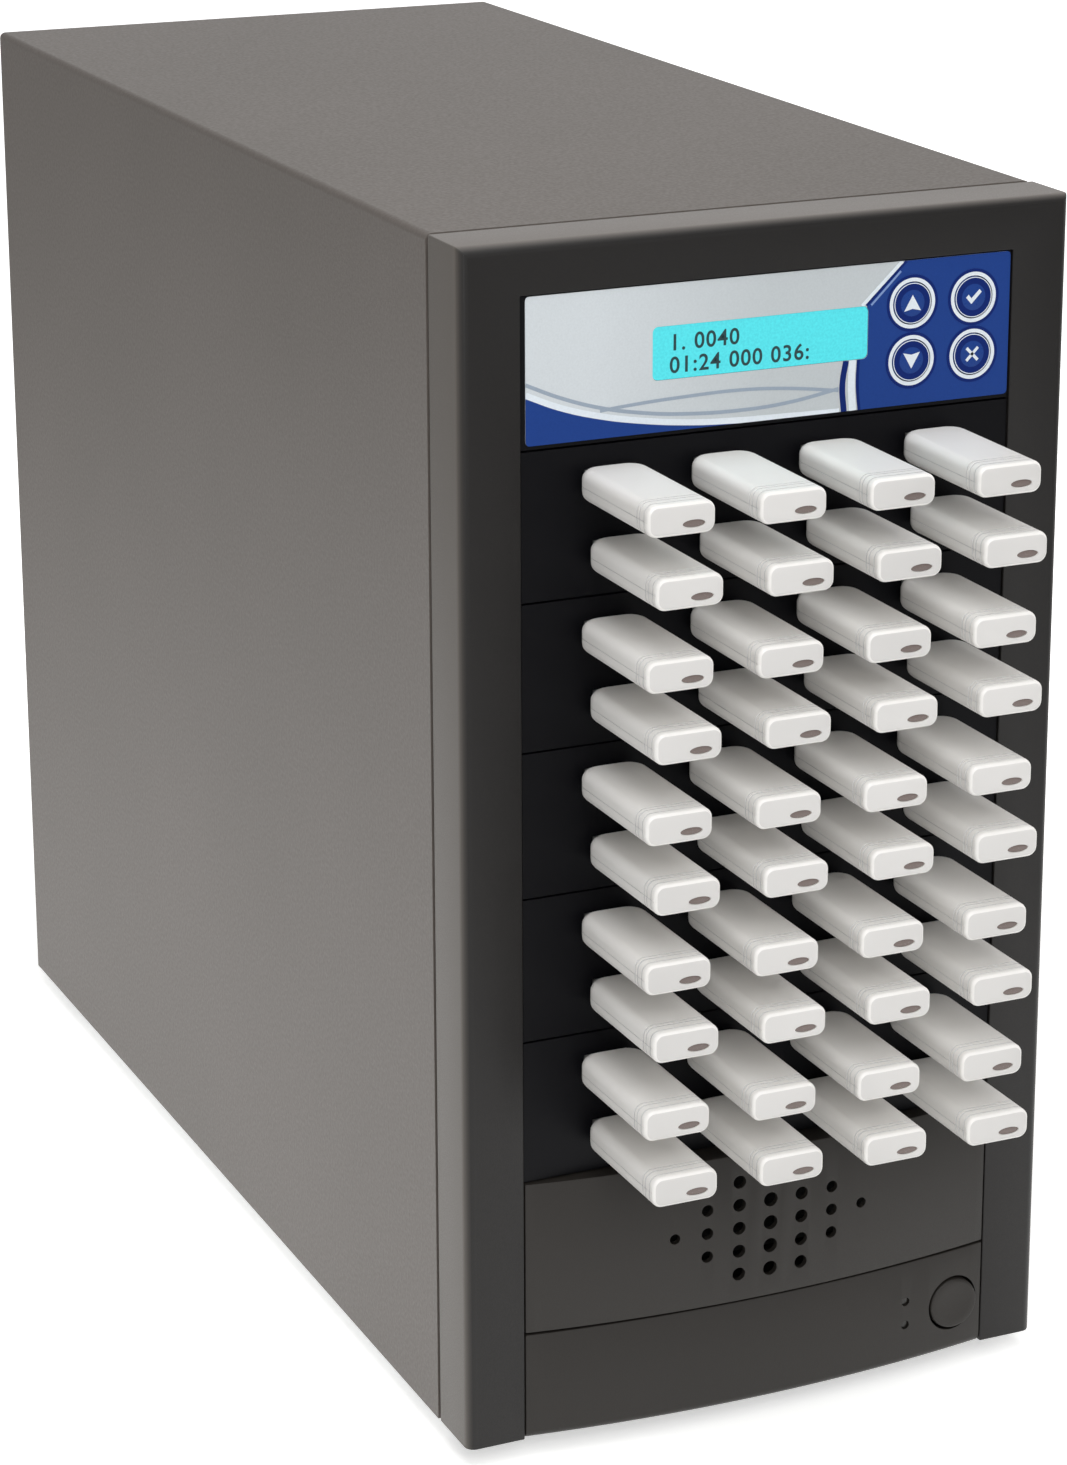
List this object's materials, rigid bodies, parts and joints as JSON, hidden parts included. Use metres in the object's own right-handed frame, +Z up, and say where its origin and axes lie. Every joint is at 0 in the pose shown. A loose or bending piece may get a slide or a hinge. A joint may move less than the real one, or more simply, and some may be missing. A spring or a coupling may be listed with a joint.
{
  "type": "usb drive duplicator tower",
  "caption": "Upright tower that copies USB drives: bezel with display panel and keys over rows of ports with drives plugged in, bowed vent and chin panels.",
  "frame": {"origin": "centre of the overall box, on the floor under the feet", "axes": "+Z up; -Y is the front, where the drives plug in; +X is to the right seen from the front"},
  "size_m": [0.1844, 0.4592, 0.3536],
  "materials": {
    "cover_paint": "satin, finely textured powder coat",
    "chassis_steel": "bare zinc-plated sheet",
    "bezel_plastic": "matt, fine moulded grain",
    "button_plastic": "satin",
    "panel_film": "printed film, silver white with blue",
    "display": "lit cyan display",
    "key_blue": "satin",
    "plate_black": "satin",
    "socket_steel": "nickel-plated",
    "circuit_board": "solder mask",
    "supply_steel": "plain zinc-plated sheet",
    "switch_plastic": "satin",
    "fan_plastic": "satin",
    "foot_rubber": "matt",
    "screw_steel": "plated",
    "drive_white": "satin white"
  },
  "bodies": {
    "case": {"outer_cover": "cover_paint", "chassis": "chassis_steel", "front_bezel": "bezel_plastic", "vent_panel": "bezel_plastic", "chin_panel": "bezel_plastic", "control_panel": "panel_film", "lcd_module": "display", "port_plates": "plate_black", "port_sockets": "socket_steel", "circuit_boards": "circuit_board", "power_supply": "supply_steel", "rubber_feet": "foot_rubber", "screws": "screw_steel"},
    "power_button": {"power_button": "button_plastic"},
    "key_up": {"key_up": "key_blue"},
    "key_down": {"key_down": "key_blue"},
    "key_enter": {"key_enter": "key_blue"},
    "key_escape": {"key_escape": "key_blue"},
    "psu_rocker": {"psu_switch": "switch_plastic"},
    "fan": {"fan_rotor": "fan_plastic"},
    "drive_01": {"drive_01": "drive_white"},
    "drive_02": {"drive_02": "drive_white"},
    "drive_03": {"drive_03": "drive_white"},
    "drive_04": {"drive_04": "drive_white"},
    "drive_05": {"drive_05": "drive_white"},
    "drive_06": {"drive_06": "drive_white"},
    "drive_07": {"drive_07": "drive_white"},
    "drive_08": {"drive_08": "drive_white"},
    "drive_09": {"drive_09": "drive_white"},
    "drive_10": {"drive_10": "drive_white"},
    "drive_11": {"drive_11": "drive_white"},
    "drive_12": {"drive_12": "drive_white"},
    "drive_13": {"drive_13": "drive_white"},
    "drive_14": {"drive_14": "drive_white"},
    "drive_15": {"drive_15": "drive_white"},
    "drive_16": {"drive_16": "drive_white"},
    "drive_17": {"drive_17": "drive_white"},
    "drive_18": {"drive_18": "drive_white"},
    "drive_19": {"drive_19": "drive_white"},
    "drive_20": {"drive_20": "drive_white"},
    "drive_21": {"drive_21": "drive_white"},
    "drive_22": {"drive_22": "drive_white"},
    "drive_23": {"drive_23": "drive_white"},
    "drive_24": {"drive_24": "drive_white"},
    "drive_25": {"drive_25": "drive_white"},
    "drive_26": {"drive_26": "drive_white"},
    "drive_27": {"drive_27": "drive_white"},
    "drive_28": {"drive_28": "drive_white"},
    "drive_29": {"drive_29": "drive_white"},
    "drive_30": {"drive_30": "drive_white"},
    "drive_31": {"drive_31": "drive_white"},
    "drive_32": {"drive_32": "drive_white"},
    "drive_33": {"drive_33": "drive_white"},
    "drive_34": {"drive_34": "drive_white"},
    "drive_35": {"drive_35": "drive_white"},
    "drive_36": {"drive_36": "drive_white"},
    "drive_37": {"drive_37": "drive_white"},
    "drive_38": {"drive_38": "drive_white"},
    "drive_39": {"drive_39": "drive_white"},
    "drive_40": {"drive_40": "drive_white"}
  },
  "joints": [
    {"name": "power_button_press", "type": "slide", "parent": "case", "child": "power_button", "axis": [0, 1, 0], "range_m": [0, 0.002], "stiffness_N_per_m": 600, "springref_m": -0.002},
    {"name": "key_up_press", "type": "slide", "parent": "case", "child": "key_up", "axis": [0, 1, 0], "range_m": [0, 0.0006], "stiffness_N_per_m": 1500, "springref_m": -0.0004},
    {"name": "key_down_press", "type": "slide", "parent": "case", "child": "key_down", "axis": [0, 1, 0], "range_m": [0, 0.0006], "stiffness_N_per_m": 1500, "springref_m": -0.0004},
    {"name": "key_enter_press", "type": "slide", "parent": "case", "child": "key_enter", "axis": [0, 1, 0], "range_m": [0, 0.0006], "stiffness_N_per_m": 1500, "springref_m": -0.0004},
    {"name": "key_escape_press", "type": "slide", "parent": "case", "child": "key_escape", "axis": [0, 1, 0], "range_m": [0, 0.0006], "stiffness_N_per_m": 1500, "springref_m": -0.0004},
    {"name": "psu_rocker_tilt", "type": "hinge", "parent": "case", "child": "psu_rocker", "pos_m": [0.049, 0.224, 0.2823], "axis": [0, 0, 1], "range_deg": [-18, 0]},
    {"name": "fan_spin", "type": "hinge", "parent": "case", "child": "fan", "pos_m": [-0.03, 0.2035, 0.2973], "axis": [0, 1, 0], "continuous": true},
    {"name": "drive_01_pull", "type": "slide", "parent": "case", "child": "drive_01", "axis": [0, -1, 0], "range_m": [0, 0.016]},
    {"name": "drive_02_pull", "type": "slide", "parent": "case", "child": "drive_02", "axis": [0, -1, 0], "range_m": [0, 0.016]},
    {"name": "drive_03_pull", "type": "slide", "parent": "case", "child": "drive_03", "axis": [0, -1, 0], "range_m": [0, 0.016]},
    {"name": "drive_04_pull", "type": "slide", "parent": "case", "child": "drive_04", "axis": [0, -1, 0], "range_m": [0, 0.016]},
    {"name": "drive_05_pull", "type": "slide", "parent": "case", "child": "drive_05", "axis": [0, -1, 0], "range_m": [0, 0.016]},
    {"name": "drive_06_pull", "type": "slide", "parent": "case", "child": "drive_06", "axis": [0, -1, 0], "range_m": [0, 0.016]},
    {"name": "drive_07_pull", "type": "slide", "parent": "case", "child": "drive_07", "axis": [0, -1, 0], "range_m": [0, 0.016]},
    {"name": "drive_08_pull", "type": "slide", "parent": "case", "child": "drive_08", "axis": [0, -1, 0], "range_m": [0, 0.016]},
    {"name": "drive_09_pull", "type": "slide", "parent": "case", "child": "drive_09", "axis": [0, -1, 0], "range_m": [0, 0.016]},
    {"name": "drive_10_pull", "type": "slide", "parent": "case", "child": "drive_10", "axis": [0, -1, 0], "range_m": [0, 0.016]},
    {"name": "drive_11_pull", "type": "slide", "parent": "case", "child": "drive_11", "axis": [0, -1, 0], "range_m": [0, 0.016]},
    {"name": "drive_12_pull", "type": "slide", "parent": "case", "child": "drive_12", "axis": [0, -1, 0], "range_m": [0, 0.016]},
    {"name": "drive_13_pull", "type": "slide", "parent": "case", "child": "drive_13", "axis": [0, -1, 0], "range_m": [0, 0.016]},
    {"name": "drive_14_pull", "type": "slide", "parent": "case", "child": "drive_14", "axis": [0, -1, 0], "range_m": [0, 0.016]},
    {"name": "drive_15_pull", "type": "slide", "parent": "case", "child": "drive_15", "axis": [0, -1, 0], "range_m": [0, 0.016]},
    {"name": "drive_16_pull", "type": "slide", "parent": "case", "child": "drive_16", "axis": [0, -1, 0], "range_m": [0, 0.016]},
    {"name": "drive_17_pull", "type": "slide", "parent": "case", "child": "drive_17", "axis": [0, -1, 0], "range_m": [0, 0.016]},
    {"name": "drive_18_pull", "type": "slide", "parent": "case", "child": "drive_18", "axis": [0, -1, 0], "range_m": [0, 0.016]},
    {"name": "drive_19_pull", "type": "slide", "parent": "case", "child": "drive_19", "axis": [0, -1, 0], "range_m": [0, 0.016]},
    {"name": "drive_20_pull", "type": "slide", "parent": "case", "child": "drive_20", "axis": [0, -1, 0], "range_m": [0, 0.016]},
    {"name": "drive_21_pull", "type": "slide", "parent": "case", "child": "drive_21", "axis": [0, -1, 0], "range_m": [0, 0.016]},
    {"name": "drive_22_pull", "type": "slide", "parent": "case", "child": "drive_22", "axis": [0, -1, 0], "range_m": [0, 0.016]},
    {"name": "drive_23_pull", "type": "slide", "parent": "case", "child": "drive_23", "axis": [0, -1, 0], "range_m": [0, 0.016]},
    {"name": "drive_24_pull", "type": "slide", "parent": "case", "child": "drive_24", "axis": [0, -1, 0], "range_m": [0, 0.016]},
    {"name": "drive_25_pull", "type": "slide", "parent": "case", "child": "drive_25", "axis": [0, -1, 0], "range_m": [0, 0.016]},
    {"name": "drive_26_pull", "type": "slide", "parent": "case", "child": "drive_26", "axis": [0, -1, 0], "range_m": [0, 0.016]},
    {"name": "drive_27_pull", "type": "slide", "parent": "case", "child": "drive_27", "axis": [0, -1, 0], "range_m": [0, 0.016]},
    {"name": "drive_28_pull", "type": "slide", "parent": "case", "child": "drive_28", "axis": [0, -1, 0], "range_m": [0, 0.016]},
    {"name": "drive_29_pull", "type": "slide", "parent": "case", "child": "drive_29", "axis": [0, -1, 0], "range_m": [0, 0.016]},
    {"name": "drive_30_pull", "type": "slide", "parent": "case", "child": "drive_30", "axis": [0, -1, 0], "range_m": [0, 0.016]},
    {"name": "drive_31_pull", "type": "slide", "parent": "case", "child": "drive_31", "axis": [0, -1, 0], "range_m": [0, 0.016]},
    {"name": "drive_32_pull", "type": "slide", "parent": "case", "child": "drive_32", "axis": [0, -1, 0], "range_m": [0, 0.016]},
    {"name": "drive_33_pull", "type": "slide", "parent": "case", "child": "drive_33", "axis": [0, -1, 0], "range_m": [0, 0.016]},
    {"name": "drive_34_pull", "type": "slide", "parent": "case", "child": "drive_34", "axis": [0, -1, 0], "range_m": [0, 0.016]},
    {"name": "drive_35_pull", "type": "slide", "parent": "case", "child": "drive_35", "axis": [0, -1, 0], "range_m": [0, 0.016]},
    {"name": "drive_36_pull", "type": "slide", "parent": "case", "child": "drive_36", "axis": [0, -1, 0], "range_m": [0, 0.016]},
    {"name": "drive_37_pull", "type": "slide", "parent": "case", "child": "drive_37", "axis": [0, -1, 0], "range_m": [0, 0.016]},
    {"name": "drive_38_pull", "type": "slide", "parent": "case", "child": "drive_38", "axis": [0, -1, 0], "range_m": [0, 0.016]},
    {"name": "drive_39_pull", "type": "slide", "parent": "case", "child": "drive_39", "axis": [0, -1, 0], "range_m": [0, 0.016]},
    {"name": "drive_40_pull", "type": "slide", "parent": "case", "child": "drive_40", "axis": [0, -1, 0], "range_m": [0, 0.016]}
  ]
}
